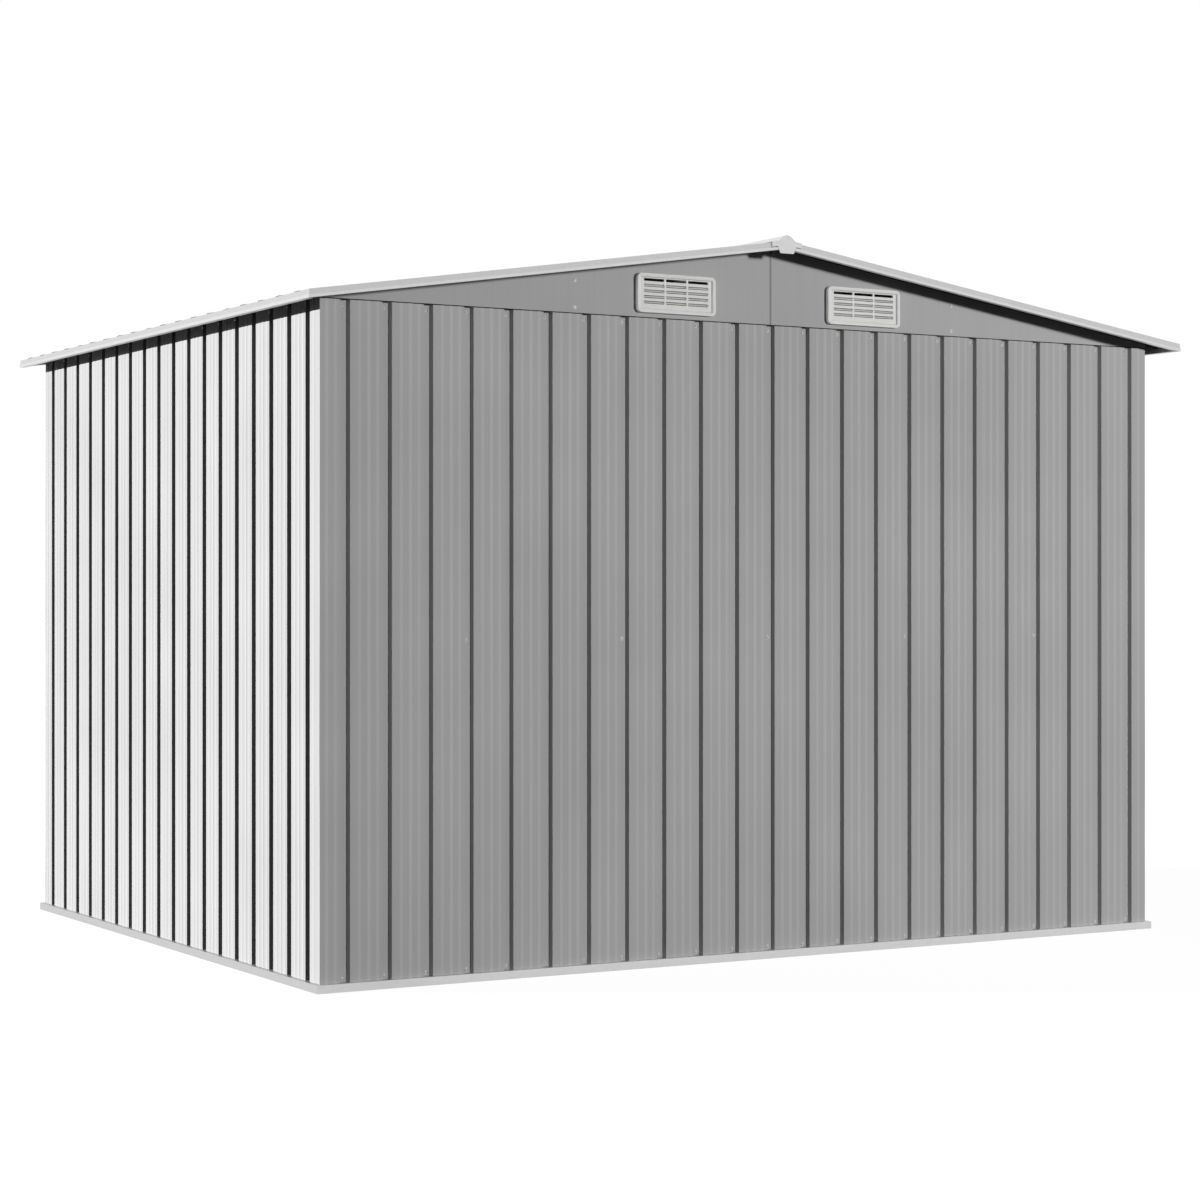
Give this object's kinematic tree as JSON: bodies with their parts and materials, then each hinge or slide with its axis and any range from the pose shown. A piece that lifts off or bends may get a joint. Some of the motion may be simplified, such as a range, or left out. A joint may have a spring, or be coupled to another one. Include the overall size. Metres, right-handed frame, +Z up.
{
  "type": "metal storage shed",
  "caption": "Small garden storage shed of ribbed painted sheet metal on a folded base rail, with a low gabled roof, louvred gable vents and closed double sliding doors.",
  "frame": {"origin": "on the ground, under the middle of the whole shed", "axes": "+Z up, the doors face -Y, the back gable faces +Y, +X across the width of the shed"},
  "size_m": [2.57, 2.0636, 1.7962],
  "materials": {
    "wall_paint": "satin",
    "door_paint": "satin",
    "roof_paint": "satin",
    "trim_paint": "satin",
    "galvanised_frame": "zinc coated",
    "vent_plastic": "moulded",
    "handle_plastic": "moulded"
  },
  "bodies": {
    "root": {"back_panel_1": "wall_paint", "back_panel_2": "wall_paint", "back_panel_3": "wall_paint", "back_panel_4": "wall_paint", "back_panel_5": "wall_paint", "back_panel_6": "wall_paint", "base_rail_back": "trim_paint", "base_rail_front": "trim_paint", "base_rail_left": "trim_paint", "base_rail_right": "trim_paint", "door_handle_left": "handle_plastic", "door_handle_right": "handle_plastic", "door_header": "trim_paint", "door_left": "door_paint", "door_right": "door_paint", "door_track": "galvanised_frame", "eave_trim_left": "trim_paint", "eave_trim_right": "trim_paint", "front_panel_left": "wall_paint", "front_panel_right": "wall_paint", "gable_back_left": "wall_paint", "gable_back_right": "wall_paint", "gable_front_left": "wall_paint", "gable_front_right": "wall_paint", "left_panel_1": "wall_paint", "left_panel_2": "wall_paint", "left_panel_3": "wall_paint", "left_panel_4": "wall_paint", "left_panel_5": "wall_paint", "mid_rail_back": "galvanised_frame", "mid_rail_left": "galvanised_frame", "mid_rail_right": "galvanised_frame", "purlins": "galvanised_frame", "ridge_beam": "galvanised_frame", "ridge_cap": "trim_paint", "right_panel_1": "wall_paint", "right_panel_2": "wall_paint", "right_panel_3": "wall_paint", "right_panel_4": "wall_paint", "right_panel_5": "wall_paint", "roof_sheet_left_1": "roof_paint", "roof_sheet_left_2": "roof_paint", "roof_sheet_left_3": "roof_paint", "roof_sheet_left_4": "roof_paint", "roof_sheet_right_1": "roof_paint", "roof_sheet_right_2": "roof_paint", "roof_sheet_right_3": "roof_paint", "roof_sheet_right_4": "roof_paint", "top_rail_back": "galvanised_frame", "top_rail_front": "galvanised_frame", "top_rail_left": "galvanised_frame", "top_rail_right": "galvanised_frame", "vent_back_left": "vent_plastic", "vent_back_right": "vent_plastic", "vent_front_left": "vent_plastic", "vent_front_right": "vent_plastic", "verge_trim_back": "trim_paint", "verge_trim_front": "trim_paint"}
  },
  "joints": []
}
